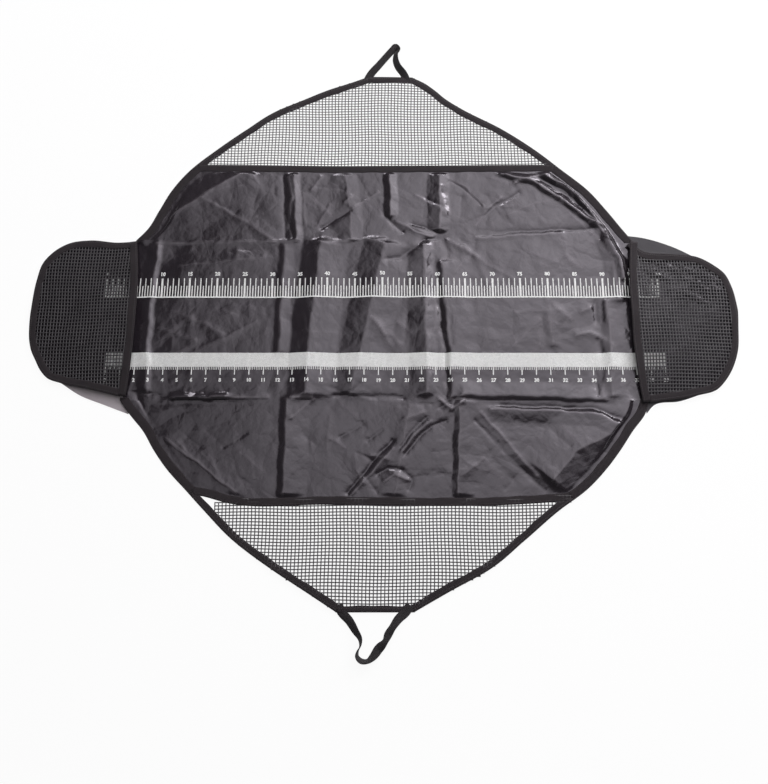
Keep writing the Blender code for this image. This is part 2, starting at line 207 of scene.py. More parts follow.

# Creases in millimetres: (height, reach to the left, reach to the right, x and y of each point).
# Left is the left-hand side on the way along the points; a negative height is a valley.
FOLDS = [
    # Long crease at the back
    (1.8, 5.5, 4.4, -416, 147, -161, 151),
    (-0.9, 4.4, 5.5, -347, 136, -213, 138),
    (1.9, 6.2, 3.8, -117, 149, 3, 155),
    (-1.8, 4.4, 4.4, -471, 145, -357, 144),
    # Long crease at the front
    (-2.4, 4.4, 4.4, -446, -132, -372, -140),
    (2.0, 5.5, 4.4, -300, -141, -203, -141),
    (-0.8, 3.3, 4.4, -410, -154, -234, -152),
    (2.9, 5, 3.8, -161, -141, -126, -141),
    (-2.6, 3.8, 3.8, -85, -138, 36, -141),
    (-1.7, 3.8, 3.8, -94, -123, -70, -134, -55, -132, -41, -118),
    (-2.3, 3.8, 5, 204, -156, 372, -161, 430, -187),
    # Left end of the floor
    (-0.7, 3.3, 3.3, -415, -129, -420, -38, -419, 56, -419, 140),
    (0.9, 4.4, 8.8, -184, -60, -184, 37, -179, 134),
    # Crumples, left of the middle
    (1.1, 5.5, 6.6, -382, 17, -321, -6, -289, -28),
    (1.0, 5.5, 6.6, -401, -15, -335, -38),
    (1.0, 5.5, 6.6, -289, -38, -261, -21, -229, -4),
    (0.8, 4.4, 5.5, -334, -58, -286, -34),
    (0.8, 4.4, 5.5, -366, -60, -342, -47),
    (-0.6, 6.6, 6.6, -323, 28, -259, 15),
    (0.4, 5.5, 5.5, -396, 45, -332, 37),
    # Wing at the back, left
    (1.6, 4, 7, -438, 168, -328, 246, -256, 291),
    (1.1, 5.5, 5.5, -340, 237, -267, 195, -198, 151),
    (0.6, 5.5, 6.6, -334, 247, -269, 260),
    (-0.6, 5.5, 5.5, -320, 229, -275, 207),
    (-1.6, 5, 3.8, -182, 157, -188, 284),
    (-1.4, 3.8, 3.8, -179, 201, -167, 157),
    (1.3, 3.8, 3.8, -178, 278, -171, 233),
    (1.0, 3.8, 3.8, -173, 233, -175, 189),
    (-2.9, 5, 3.8, -114, 175, -88, 195, -62, 213),
    (1.4, 5, 5, -59, 215, -36, 229, -10, 247),
    (1.2, 5, 5, -116, 282, -134, 253),
    (1.0, 7.5, 6.2, -100, 223, -121, 181),
    (1.3, 7.5, 5, -72, 227, -59, 241),
    (0.7, 5, 6.2, -151, 243, -144, 183),
    (-0.9, 5, 6.2, -123, 262, -72, 253),
    # Wing at the back, middle
    (-2.6, 5, 5, 1, 205, 16, 185, 34, 169),
    (1.7, 5, 3.8, 23, 189, 53, 173),
    (-2.8, 3.8, 3.8, 53, 185, 79, 179, 103, 163),
    (2.3, 3.8, 3.8, 56, 171, 90, 159),
    (-3.8, 5, 3.8, 104, 161, 132, 171, 160, 185, 187, 195),
    (-2.5, 3.8, 3.8, 160, 181, 179, 193, 214, 225, 254, 249),
    (1.2, 5, 3.8, 172, 185, 187, 205, 218, 239),
    (-3.2, 5, 5, 99, 157, 75, 155, 52, 134, 30, 118, 5, 114),
    (-1.7, 7.5, 6.2, 106, 157, 117, 134, 120, 108),
    (-2.0, 3.8, 3.8, 78, 237, 107, 221),
    (1.2, 3.8, 5, 59, 243, 87, 227),
    (-2.0, 5, 3.8, 129, 270, 162, 247, 182, 225),
    (1.3, 5, 3.8, 121, 276, 155, 258, 188, 221),
    (1.0, 5, 6.2, 106, 262, 116, 203),
    (-1.0, 6.2, 6.2, 147, 241, 142, 201),
    (0.7, 10, 10, 201, 278, 256, 262),
    (0.9, 7.5, 7.5, 187, 217, 240, 223),
    # Wing at the back, right
    (-2.6, 5, 5, 164, 167, 290, 173, 388, 175),
    (1.3, 5, 5, 171, 157, 252, 163, 330, 167),
    (1.6, 5, 3.8, 119, 153, 145, 140, 172, 120),
    (-1.2, 5, 3.8, 141, 157, 167, 134),
    (-1.2, 5, 3.8, 171, 153, 159, 122),
    (0.9, 3.8, 3.8, 132, 145, 184, 110, 238, 77),
    (0.9, 11.2, 11.2, 232, 205, 283, 227, 330, 237),
    (0.7, 6.2, 7.5, 269, 130, 316, 110),
    (0.9, 6.2, 6.2, 333, 124, 360, 99),
    (-0.7, 7.5, 7.5, 217, 219, 264, 209),
    # Crumpled corner at the back right
    (1.3, 5, 7.5, 229, 284, 257, 276, 294, 264),
    (1.4, 5, 8.8, 294, 264, 334, 235, 387, 189),
    (2.8, 5, 5, 247, 268, 276, 278, 310, 284),
    (2.8, 4.4, 3.8, 324, 264, 342, 253, 362, 243),
    (1.7, 3.8, 3.8, 345, 262, 353, 239),
    (1.4, 5, 3.8, 313, 278, 331, 262),
    (-1.7, 5, 5, 334, 235, 354, 253),
    (3.4, 5, 3.8, 380, 187, 401, 183, 420, 186),
    (3.4, 5, 3.8, 420, 185, 408, 161),
    (3.0, 5, 3.8, 387, 187, 401, 175, 409, 161),
    (1.4, 5, 6.2, 375, 233, 403, 205),
    # Middle of the floor, right
    (-1.3, 6.2, 6.2, 44, 15, 37, -38),
    (1.2, 5, 5, 26, -4, 48, -23),
    (1.0, 5, 5, 8, -19, 29, -47),
    (1.7, 3.8, 3.8, -21, 3, 1, -28),
    (1.3, 3.8, 3.8, -10, -4, 15, -47),
    (-2.6, 3.8, 5, 112, -138, 110, -56, 99, 32),
    (2.0, 3.8, 3.8, 94, -19, 93, 41),
    (-1.4, 3.8, 3.8, 121, -47, 120, 3),
    (1.4, 6.2, 5, 307, 28, 336, 0),
    (2.3, 6.2, 6.2, 345, -28, 370, -21, 395, -38),
    (1.4, 5, 5, 355, 15, 373, 24),
    (-2.9, 3.8, 3.8, 382, -4, 383, 34),
    (-2.3, 3.8, 3.8, 386, -60, 384, -38),
    (-1.7, 3.8, 3.8, 393, 0, 394, 37),
    (-2.6, 3.8, 3.8, 376, -138, 375, -93),
    (1.2, 6.2, 6.2, 381, -138, 391, -111, 408, -47),
    (-1.2, 7.5, 7.5, 318, -4, 319, -47),
    (0.9, 6.2, 7.5, 237, 15, 292, 17),
    (0.7, 7.5, 7.5, 226, -52, 282, 0),
    # Pocket on the right
    (-1.2, 5, 5, 557, 134, 556, 85, 562, 34),
    (0.9, 6.2, 6.2, 490, 83, 517, 95, 546, 99),
    (-1.0, 5, 5, 517, 53, 556, 41, 584, 37),
    # Knot of creases at the front
    (2.6, 3.8, 3.8, 96, -143, 120, -161),
    (2.6, 3.8, 3.8, 120, -161, 141, -147),
    (1.7, 3.8, 3.8, 110, -125, 120, -147),
    (-2.0, 3.8, 3.8, 99, -161, 115, -150),
    # Wing at the front, left
    (1.4, 6, 4, -429, -184, -318, -257, -252, -306),
    (-2.6, 4.4, 4.4, -434, -140, -413, -175, -387, -207),
    (-1.1, 3.3, 3.3, -278, -229, -239, -205),
    (-0.9, 4.4, 4.4, -340, -210, -318, -228),
    (0.8, 5.5, 4.4, -360, -217, -334, -243),
    (0.8, 5.5, 4.4, -317, -238, -292, -262),
    (-0.9, 6.6, 6.6, -309, -200, -287, -217),
    (0.6, 8.8, 8.8, -248, -238, -209, -269),
    (-0.6, 6.6, 6.6, -264, -279, -215, -296),
    (1.4, 5, 5, -162, -179, -122, -145),
    (-0.9, 10, 10, -145, -203, -114, -226),
    # Wing at the front, middle
    (-1.6, 3.8, 3.8, -76, -212, -55, -200, -36, -187),
    (-1.4, 3.8, 3.8, -29, -219, -3, -200),
    (1.0, 5, 5, -93, -214, -67, -228),
    (-3.2, 3.8, 3.8, -62, -310, -20, -257, 15, -217),
    (1.7, 5, 5, -54, -310, -13, -264, 16, -231),
    (-1.3, 3.8, 5, -44, -238, -20, -252),
    (1.3, 5, 5, -23, -243, 8, -248),
    (-2.6, 3.8, 3.8, -13, -276, 8, -264, 32, -269),
    (1.7, 5, 3.8, 1, -286, 18, -276, 42, -286),
    (-2.0, 5, 5, 32, -269, 49, -286, 42, -303),
    (-1.3, 5, 5, -30, -283, -9, -307),
    (1.0, 5, 5, -47, -269, -33, -293),
    (-2.2, 3.8, 3.8, 29, -228, 50, -202, 74, -179),
    (-2.5, 3.8, 3.8, 37, -242, 60, -214, 86, -191, 109, -182),
    (1.6, 3.8, 3.8, 32, -235, 55, -207, 81, -184),
    (1.2, 6.2, 6.2, 36, -179, 71, -168),
    (-1.2, 5, 5, 29, -154, 85, -154),
    (-0.9, 6.2, 7.5, 59, -279, 104, -276),
    # Wing at the front, right
    (-1.7, 5, 3.8, 160, -182, 207, -235, 255, -284),
    (1.7, 3.8, 5, 171, -168, 216, -222, 264, -279),
    (0.9, 6.2, 6.2, 135, -276, 174, -248),
    (-1.2, 5, 5, 251, -283, 276, -303),
    (-1.3, 10, 10, 231, -182, 281, -196),
    (-1.2, 8.8, 8.8, 287, -193, 323, -228),
    (1.0, 7.5, 7.5, 290, -266, 296, -293),
    (-0.7, 8.8, 8.8, 235, -269, 208, -300),
]
# Long straight-sided ridges between flat faces of cloth, in the same form
PLEATS = [
    # Floor
    (3.6, 20, 6, -415, -132, -420, -38, -419, 56, -413, 142),
    (2.2, 10, 20, -186, -60, -186, 37, -181, 142),
    (7.5, 34, 52, -136, -136, -133, -38, -124, 56, -115, 147),
    (6.5, 40, 48, -59, -136, -38, -47, -17, 56, 3, 147),
    (2.4, 20, 34, -373, 103, -300, 110, -219, 120),
    (6.0, 32, 16, 77, -136, 78, -56, 75, 37, 75, 145),
    (4.0, 11, 50, 120, -140, 119, -56, 111, 34, 107, 110),
    (4.5, 16, 30, 402, -138, 405, -38, 403, 37),
    (4.0, 18, 22, 425, 37, 419, 110, 407, 153),
    (2.2, 14, 30, 303, -47, 297, 18),
    # Pockets
    (3.0, 12, 26, -512, -47, -511, 76),
    (2.3, 6, 7, 540, 106, 566, 91),
    (2.3, 6, 7, 556, 76, 590, 57),
    (2.3, 6, 7, 575, 96, 606, 79),
    (2.3, 6, 7, 600, 64, 627, 49),
    (2.3, 6, 7, 484, 94, 514, 77),
    (2.3, 6, 7, 505, 110, 533, 94),
    (2.3, 6, 7, 545, 52, 575, 36),
    # Wing at the back
    (4.6, 34, 60, -449, 153, -436, 167, -331, 247, -252, 294),
    (3.7, 17, 11, -160, 153, -163, 213, -167, 286),
    (2.6, 34, 22, -58, 153, -63, 223, -73, 286),
    (4.6, 13, 14, 14, 201, 12, 286),
    (5.5, 24, 18, 105, 173, 105, 286),
    (4.6, 12, 8, 220, 286, 276, 272, 330, 235, 389, 185),
    (8.0, 17, 7, 300, 281, 348, 254, 381, 213, 409, 180),
    (6.5, 12, 12, 438, 76, 430, 120, 412, 158),
    # Wing at the front
    (0.7, 60, 40, -430, -165, -422, -182, -316, -257, -245, -315),
    (5.0, 10, 5, -372, -142, -277, -142),
    (4.6, 12, 40, -172, -310, -170, -235, -170, -145),
    (3.4, 7, 24, 187, -161, 309, -165, 379, -172, 429, -200),
    (9.0, 70, 36, 289, -286, 331, -238, 387, -209, 447, -189),
    (4.4, 11, 32, 127, -310, 131, -217, 135, -150),
    (3.6, 26, 7, 138, -138, 257, -139, 387, -145),
    (2.2, 30, 26, 20, -310, 32, -235, 46, -154),
]
LOOSE_CRINKLES = 230            # small random creases
CRINKLE_SEED = 11
SWELL_SEED = 5
FOLD_END = 0.004                # creases die out this fast beyond their ends
PLEAT_END = 0.006
FOLD_SCUFF_AND_HIGHLIGHT = (0.35, 0.0015)      # pale line on a ridge, scuff and painted highlight: share for a 1 mm ridge, and width
PLEAT_SCUFF_AND_HIGHLIGHT = (0.45, 0.0012)     # the same, for a pleat of any height
SCUFF_AND_HIGHLIGHT_END = 0.003                # how far the pale lines, scuff and painted highlight, run on beyond an end

# Printed rulers
CM = 0.01
INCH = 0.0254
CM_ZERO = -0.502
CM_COUNT = 100
CM_BASELINE = 0.0430
CM_TICK = 0.0360                # length of a whole centimetre's tick
CM_HALF_TICK = 0.0216
CM_NUMBER_Y = 0.0868
INCH_ZERO = -0.4917
INCH_COUNT = 39
INCH_BAND_TOP = -0.0612
INCH_BAND_LENGTH = 0.0256
INCH_EIGHTH_TICK = 0.0052
INCH_TICK = 0.0142
INCH_NUMBER_Y = -0.1108
CM_NUMBER_HEIGHT = 0.0066
INCH_NUMBER_HEIGHT = 0.0063
NUMBER_BOLDNESS = 0.0004
BAND_LINE = 0.00136             # the inch band's close lines, 16 an inch
EIGHTH_LINE = 0.0010
THIN_LINE = 0.0018
BASE_LINE = THIN_LINE * 1.3
BOLD_LINE = 0.0034

# Handles: centre line and how far the webbing stands on its edge, in degrees, at each point
HANDLE_LINES = {
    "back": [
        (-0.0330, 0.4800, 10), (-0.0245, 0.4950, 35), (-0.0088, 0.5142, 50), (0.0068, 0.5340, 52),
        (0.0170, 0.5465, 50), (0.0238, 0.5535, 44), (0.0272, 0.5490, 46), (0.0236, 0.5370, 56),
        (0.0232, 0.5280, 50), (0.0278, 0.5120, 46), (0.0385, 0.4965, 36), (0.0460, 0.4800, 8),
    ],
    "front": [
        (-0.0745, -0.4900, 0), (-0.0700, -0.5000, 5), (-0.0562, -0.5150, 22),
        (-0.0462, -0.5306, 42), (-0.0380, -0.5445, 66), (-0.0384, -0.5550, 86),
        (-0.0417, -0.5612, 96), (-0.0432, -0.5695, 108), (-0.0366, -0.5770, 118),
        (-0.0265, -0.5775, 114), (-0.0176, -0.5710, 138), (-0.0080, -0.5588, 172),
        (0.0030, -0.5465, 126), (0.0075, -0.5368, 148), (0.0148, -0.5252, 136),
        (0.0246, -0.5120, 160), (0.0370, -0.5010, 176), (0.0440, -0.4900, 180),
    ],
}

# Joint lines of the imported model; a web stands raised at the rim inside the inner one and lies low beyond
# the outer one
HOOD_BEND = (0.6372, 0.5600)

# Camera, a little tilted from straight above
CAMERA_PLACE = (0.0, -0.4664, 1.6058)
CAMERA_TILT = 16.0
CAMERA_LENS = 42.65
CAMERA_SHIFT = (0.0006, -0.0871)

# One large softbox overhead, as overlapping panels that grow brighter towards the back right, with
# a bright window far back on the left and two dim strips at the front left: near corner and far
# corner in plan, and added radiance
LIGHT_HEIGHT = 2.0
PANEL_STEP = 0.02               # each panel hangs this much above the one before
SOFTBOX = [
    ((-0.95, -0.80), (2.60, 2.60), 0.45),
    ((-0.70, -0.55), (2.60, 2.60), 0.50),
    ((-0.45, -0.35), (2.60, 2.60), 0.45),
    ((-0.20, -0.15), (2.60, 2.60), 0.36),
    ((0.10, 0.20), (2.60, 2.60), 0.45),
    ((0.40, 0.45), (2.60, 2.60), 0.50),
    ((-0.35, 0.85), (2.60, 2.60), 0.45),
    ((0.75, 0.85), (2.60, 2.60), 0.50),
    ((1.20, 1.30), (2.60, 2.60), 0.80),
    ((1.60, 1.70), (4.60, 4.60), 1.50),
    ((2.00, 2.10), (4.60, 4.60), 4.00),
    ((2.35, 2.40), (4.60, 4.60), 8.50),
    ((-0.95, 2.30), (4.60, 4.60), 2.00),
    ((-0.90, 2.60), (-0.30, 3.20), 14.00),
    ((-1.60, -0.80), (-0.95, 0.20), 0.55),
    ((-0.95, -0.80), (-0.70, 0.50), 0.30),
]
LIGHT_COLOUR = (1.0, 0.985, 1.01)
WORLD_LIGHT = 0.10
GROUND_HALF = 6.0
GROUND_GLOW = 0.93              # share of plain white that the camera sees on the ground

# Sockets of a Mix node that mixes colours
MIX_SHARE, MIX_FIRST, MIX_SECOND, MIX_RESULT = 0, 6, 7, 2


class Signal:
    """A shader value that can be written in sums, such as 1 - mask * 0.5."""

    def __init__(self, finish, socket):
        self.finish = finish
        self.socket = socket

    def combine(self, operation, first, second):
        return self.finish.value("ShaderNodeMath", {"operation": operation}, {0: first, 1: second})

    def __add__(self, other):
        return self.combine("ADD", self, other)

    def __sub__(self, other):
        return self.combine("SUBTRACT", self, other)

    def __rsub__(self, other):
        return self.combine("SUBTRACT", other, self)

    def __mul__(self, other):
        return self.combine("MULTIPLY", self, other)

    def __lt__(self, other):
        return self.combine("LESS_THAN", self, other)

    def __gt__(self, other):
        return self.combine("GREATER_THAN", self, other)

    def wave(self):
        return self.combine("SINE", self, 0.0)

    def part(self):
        return self.combine("FRACT", self, 0.0)

    def size(self):
        return self.combine("ABSOLUTE", self, 0.0)

    __radd__ = __add__
    __rmul__ = __mul__


class Nodes:
    """A node tree that shader values are worked out in."""

    def __init__(self, tree):
        self.tree = tree

    def feed(self, socket, value):
        if isinstance(value, Signal):
            value = value.socket
        if isinstance(value, bpy.types.NodeSocket):
            self.tree.links.new(value, socket)
        else:
            socket.default_value = value

    def node(self, kind, settings=None, inputs=None):
        """Add a node, with its settings first and then what its sockets hold."""
        node = self.tree.nodes.new(kind)
        for name, value in (settings or {}).items():
            setattr(node, name, value)
        for name, value in (inputs or {}).items():
            self.feed(node.inputs[name], value)
        return node

    def value(self, kind, settings=None, inputs=None, output=0):
        return Signal(self, self.node(kind, settings, inputs).outputs[output])


class Finish(Nodes):
    """A material that is built up from nodes around its shader."""

    def __init__(self, name, **sockets):
        self.material = bpy.data.materials.new(name)
        self.material.use_nodes = True
        super().__init__(self.material.node_tree)
        self.shader = self.tree.nodes["Principled BSDF"]
        self.place = self.node("ShaderNodeTexCoord").outputs["Object"]
        self.paint(**sockets)

    def noise(self, scale, detail, output=0):
        inputs = {"Vector": self.place, "Scale": scale, "Detail": detail}
        return self.value("ShaderNodeTexNoise", inputs=inputs, output=output)

    def cell_edges(self, place, scale):
        """Distance to the nearest edge between random cells."""
        inputs = {"Vector": place, "Scale": scale}
        return self.value("ShaderNodeTexVoronoi", {"feature": "DISTANCE_TO_EDGE"}, inputs)

    def along(self, source, axis):
        """One coordinate of a vector socket."""
        return self.value("ShaderNodeSeparateXYZ", inputs={0: source}, output=axis)

    def cloth(self):
        """Across and along a tape or strap, in metres, from its own UV map."""
        source = self.node("ShaderNodeUVMap", {"uv_map": "UVMap"}).outputs[0]
        return self.along(source, "X"), self.along(source, "Y")

    def between(self, low, high, share):
        """Mix two colours by a share; each is three numbers or a node's result."""
        first, second = ((*colour, 1) if isinstance(colour, tuple) else colour for colour in (low, high))
        inputs = {MIX_SHARE: share, MIX_FIRST: first, MIX_SECOND: second}
        return self.value("ShaderNodeMix", {"data_type": "RGBA"}, inputs, MIX_RESULT)

    def bumps(self, *layers):
        """Bumps laid over each other: (height signal, depth in metres)."""
        normal = None
        for height, depth in layers:
            inputs = {"Height": height, "Distance": depth, "Strength": 1.0}
            if normal:
                inputs["Normal"] = normal
            normal = self.node("ShaderNodeBump", inputs=inputs).outputs[0]
        self.feed(self.shader.inputs["Normal"], normal)

    def paint(self, **sockets):
        for socket, value in sockets.items():
            self.feed(self.shader.inputs[socket.replace("_", " ")], value)


def tarpaulin_finish(name, gloss):
    """Glossy black coated cloth, scuffed pale along its creases, with a highlight painted into those pale
    lines.
    """
    finish = Finish(name, IOR=1.50, Specular_IOR_Level=gloss, Specular_Tint=(0.98, 0.93, 1.0, 1))
    bending = {0: finish.noise(11.0, 2.0, "Color"), 1: (0.05, 0.05, 0.05), 2: finish.place}
    bent_place = finish.value("ShaderNodeVectorMath", {"operation": "MULTIPLY_ADD"}, bending)
    facets = finish.cell_edges(bent_place, 19.0)
    crinkles = finish.cell_edges(bent_place, 52.0)
    scuffed_and_highlit = finish.value("ShaderNodeAttribute", {"attribute_name": "scuffed_and_highlit"}, output="Fac")
    cloudy = finish.noise(7.0, 4.0)
    grime = finish.noise(60.0, 5.0)
    plain = finish.between((0.008, 0.006, 0.008), (0.022, 0.018, 0.022), cloudy * 0.6 + grime * 0.3)
    finish.paint(
        # pale crease lines: scuffed coating, and a painted highlight
        Base_Color=finish.between(plain, SCUFF_AND_HIGHLIGHT, scuffed_and_highlit * (0.5 + grime)),
        Roughness=0.12 + cloudy * 0.07 + scuffed_and_highlit * 0.12 + grime * 0.04,
    )
    scrim_x, scrim_y = ((finish.along(finish.place, axis) * 5200.0).wave() for axis in "XY")
    finish.bumps((finish.noise(23.0, 3.0), 0.0020), (facets, 0.0017), (crinkles, 0.0005),
                 (scrim_x * scrim_y, 0.000002))
    return finish.material


def web_finish(name, dark, light):
    """Plain satin cloth of the small webs beside the pockets."""
    finish = Finish(name, Sheen_Weight=0.05, Sheen_Roughness=0.4, Specular_IOR_Level=0.22)
    twill = ((finish.along(finish.place, "X") + finish.along(finish.place, "Y")) * 4200.0).wave()
    soft = finish.noise(20.0, 3.0)
    finish.paint(Base_Color=finish.between(dark, light, soft), Roughness=0.42 + soft * 0.12)
    finish.bumps((soft, 0.002), (twill, 0.00001))
    return finish.material


def net_finish(name, dark, light):
    """Coated strands, a little unevenly covered."""
    finish = Finish(name, Coat_Weight=0.25, Coat_Roughness=0.25)
    blotch = finish.noise(35.0, 4.0)
    beads = finish.noise(900.0, 2.0)
    finish.paint(Base_Color=finish.between(dark, light, blotch), Roughness=0.34 + blotch * 0.22)
    finish.bumps((beads, 0.0002))
    return finish.material


def tape_finish(name, dark, light, width):
    """Woven binding tape with a row of stitches near each edge."""
    finish = Finish(name, Sheen_Weight=0.08, Sheen_Roughness=0.5, Specular_IOR_Level=0.3)
    across, along = finish.cloth()
    ribs = (along * 7400.0).wave()
    warp = (across * 5200.0).wave()
    row = ((across - width * 0.5).size() - width * 0.34).size() < 0.0004
    stitch = row * ((along * 270.0).part() < 0.62)
    fade = finish.noise(40.0, 4.0)
    weave = ribs * 0.25 + warp * 0.15
    share = fade * 0.75 + weave * 0.3 + stitch * 0.9
    finish.paint(
        Base_Color=finish.between(dark, light, share),
        Roughness=0.80 + fade * 0.12 - stitch * 0.25,
    )
    finish.bumps((finish.noise(90.0, 3.0), 0.0006), (ribs + warp, 0.00005), (stitch, 0.0003))
    return finish.material


def ink_finish():
    """White print, slightly worn through."""
    finish = Finish("white_print", Specular_IOR_Level=0.4)
    paling = finish.noise(260.0, 5.0)
    cloudy = finish.noise(12.0, 2.0)
    finish.paint(
        Base_Color=finish.between((0.48, 0.485, 0.475), (0.72, 0.725, 0.71), paling * 1.2 - 0.1),
        Roughness=0.42 + cloudy * 0.15,
    )
    finish.bumps((paling, 0.00005))
    return finish.material


def ground_finish():
    """Plain white ground that shows white to the camera and keeps the shadow."""
    finish = Finish("ground", Base_Color=(0.82, 0.82, 0.82, 1), Roughness=0.9, Specular_IOR_Level=0.1)
    camera, glossy, passed = (
        finish.value("ShaderNodeLightPath", output=f"Is {kind} Ray")
        for kind in ("Camera", "Glossy", "Transmission")
    )
    glow = finish.value("ShaderNodeEmission", inputs={"Color": (1, 1, 1, 1), "Strength": 1.0})
    shaders = {0: (camera + glossy + passed) * GROUND_GLOW, 1: finish.shader.outputs[0], 2: glow}
    surface = finish.tree.nodes["Material Output"].inputs["Surface"]
    finish.feed(surface, finish.value("ShaderNodeMixShader", inputs=shaders))
    return finish.material


def eased(knots, values, at):
    """Smooth curve through values at rising knots."""
    knots = np.asarray(knots, float)
    values = np.asarray(values, float)
    at = np.asarray(at, float)
    slopes = np.gradient(values, knots)
    k = np.clip(np.searchsorted(knots, at) - 1, 0, len(knots) - 2)
    step = knots[k + 1] - knots[k]
    t = np.clip((at - knots[k]) / step, 0, 1)
    rise = values[k + 1] - values[k]
    return (
        values[k]
        + rise * t * t * (3 - 2 * t)
        + step * t * (1 - t) * (slopes[k] * (1 - t) - slopes[k + 1] * t)
    )


def smooth_share(value):
    value = np.clip(value, 0, 1)
    return value * value * (3 - 2 * value)


def run_lengths(points):
    """Distance along a line of points, from its start to each point."""
    steps = np.linalg.norm(np.diff(points, axis=0), axis=1)
    return np.concatenate([[0.0], np.cumsum(steps)])


def even_line(points, count):
    """A smooth line through given points, as count + 1 evenly spread points."""
    points = np.asarray(points, float)
    lengths = run_lengths(points[:, :2])
    dense = np.linspace(0, lengths[-1], 12 * len(points))
    curve = np.stack([eased(lengths, points[:, k], dense) for k in range(points.shape[1])], axis=1)
    lengths = run_lengths(curve[:, :2])
    even = np.linspace(0, lengths[-1], count + 1)
    return np.stack([np.interp(even, lengths, curve[:, k]) for k in range(points.shape[1])], axis=1)


def side_edge(side, end, y):
    """Outer edge of a wing or net, at a distance y from the centre line."""
    rows = np.array(SIDE_EDGES[side])
    return eased(rows[:, 0], rows[:, 1 if end == "left" else 2], y)


def seam_line(side, x):
    rows = np.array(SEAMS[side])
    return eased(rows[:, 0], rows[:, 1], x)


swell_draws = np.random.default_rng(SWELL_SEED)
SWELLS = [
    (
        2 * math.pi / swell_draws.uniform(0.13, 0.42) * np.array([math.cos(turn), math.sin(turn)]),
        swell_draws.uniform(0, 2 * math.pi),
        swell_draws.uniform(0.0003, 0.0007),
    )
    for turn in swell_draws.uniform(0, math.pi, 9)
]


def swell(x, y):
    """Slow rise and fall of the cloth on the ground, shared by all that lies there."""
    height = np.full(np.shape(x), LIE)
    for pace, start, size in SWELLS:
        height = height + size * np.sin(x * pace[0] + y * pace[1] + start)
    return np.maximum(height, LOWEST)


def loose_crinkles():
    """Short random creases over the tarpaulin, written as FOLDS is."""
    draws = np.random.default_rng(CRINKLE_SEED)
    rows = []
    for _ in range(LOOSE_CRINKLES):
        start = np.array([draws.uniform(-460, 460), draws.uniform(-310, 290)])
        turn = draws.choice([0.9, 2.2, 1.57]) + draws.normal(0, 0.45)
        run = draws.uniform(10, 70) * np.array([math.cos(turn), math.sin(turn)])
        rise = draws.choice([-1, 1]) * draws.uniform(0.15, 0.60)
        rows.append((rise, *draws.uniform(3.0, 9.0, 2), *start, *(start + run)))
    return rows


def beside_line(points, x, y):
    """Distance to the left of a bent line (negative to its right), and how far beyond its ends."""
    nearest = np.full(np.shape(x), np.inf)
    side = np.zeros(np.shape(x))
    beyond = np.zeros(np.shape(x))
    last = len(points) - 2
    for k, (start, end) in enumerate(zip(points, points[1:])):
        run = np.subtract(end, start)
        length = math.hypot(*run)
        way = run / length
        ahead = (x - start[0]) * way[0] + (y - start[1]) * way[1]
        left = (y - start[1]) * way[0] - (x - start[0]) * way[1]
        before, after = np.maximum(-ahead, 0), np.maximum(ahead - length, 0)
        gap = np.hypot(left, before + after)
        closer = gap < nearest
        nearest = np.where(closer, gap, nearest)
        outside = (before if k == 0 else 0) + (after if k == last else 0)
        reach = np.where(outside > 0, np.abs(left), gap)
        side = np.where(closer, np.copysign(reach, left), side)
        beyond = np.where(closer, outside, beyond)
    return side, beyond


def creased(x, y):
    """Height of all creases, and how pale the sheet is along the ridges, where it is scuffed and a
    highlight is painted.
    """
    # Creases waver a little to both sides of their lines
    x, y = (
        x + 0.0009 * np.sin(y * 95 + x * 31) + 0.0004 * np.sin(y * 260),
        y + 0.0009 * np.sin(x * 88 - y * 27) + 0.0004 * np.sin(x * 240),
    )
    height = np.zeros(np.shape(x))
    scuffed_and_highlit = np.zeros(np.shape(x))

    def add(rows, profile, end, paling, width):
        """Add creases with a cross profile; a function of a crease's height says how strongly its ridge is
        scuffed pale and painted with a highlight.
        """
        for rise, left, right, *points in rows:
            side, beyond = beside_line(np.reshape(points, (-1, 2)) * MM, x, y)
            gap = np.abs(side)
            share = profile(gap / (np.where(side > 0, left, right) * MM))
            height[:] += rise * MM * share * np.exp(-beyond / end)
            scuffed_and_highlit[:] += paling(rise) * np.exp(-gap / width) * (beyond < SCUFF_AND_HIGHLIGHT_END)

    (fold_scuff_and_highlight, fold_width), (pleat_scuff_and_highlight, pleat_width) = FOLD_SCUFF_AND_HIGHLIGHT, PLEAT_SCUFF_AND_HIGHLIGHT
    add(FOLDS + loose_crinkles(), lambda gap: np.exp(-gap), FOLD_END,
        lambda rise: max(rise, 0) * fold_scuff_and_highlight, fold_width)
    add(PLEATS, lambda gap: np.maximum(1 - gap, 0), PLEAT_END, lambda rise: pleat_scuff_and_highlight, pleat_width)
    return height, np.clip(scuffed_and_highlit, 0, 1)


def finished_mesh(bm, name):
    mesh = bpy.data.meshes.new(name)
    bm.to_mesh(mesh)
    bm.free()
    return mesh


def corner_places(mesh):
    places = np.empty(len(mesh.vertices) * 3)
    mesh.vertices.foreach_get("co", places)
    return places.reshape(-1, 3)


def unit_grid(name, columns, rows):
    """A grid over the unit square, with a UV map, and its corners as an array."""
    bm = bmesh.new()
    bm.loops.layers.uv.new("UVMap")
    middle = Matrix.Translation((0.5, 0.5, 0))
    bmesh.ops.create_grid(bm, x_segments=columns, y_segments=rows, size=0.5, matrix=middle, calc_uvs=True)
    mesh = finished_mesh(bm, name)
    return mesh, corner_places(mesh)


def set_places(mesh, x, y, z):
    mesh.vertices.foreach_set("co", np.stack([x, y, z], axis=1).astype(np.float32).ravel())
    mesh.update()


def scale_uv(mesh, across, along):
    """Give a unit UV map its real size in metres."""
    layer = mesh.uv_layers["UVMap"].data
    values = np.empty(len(layer) * 2, np.float32)
    layer.foreach_get("uv", values)
    values = values.reshape(-1, 2) * (across, along)
    layer.foreach_set("uv", values.astype(np.float32).ravel())


def add_piece(mesh, finish):
    piece = bpy.data.objects.new(mesh.name, mesh)
    bpy.context.scene.collection.objects.link(piece)
    mesh.materials.append(finish)
    mesh.polygons.foreach_set("use_smooth", [True] * len(mesh.polygons))
    return piece


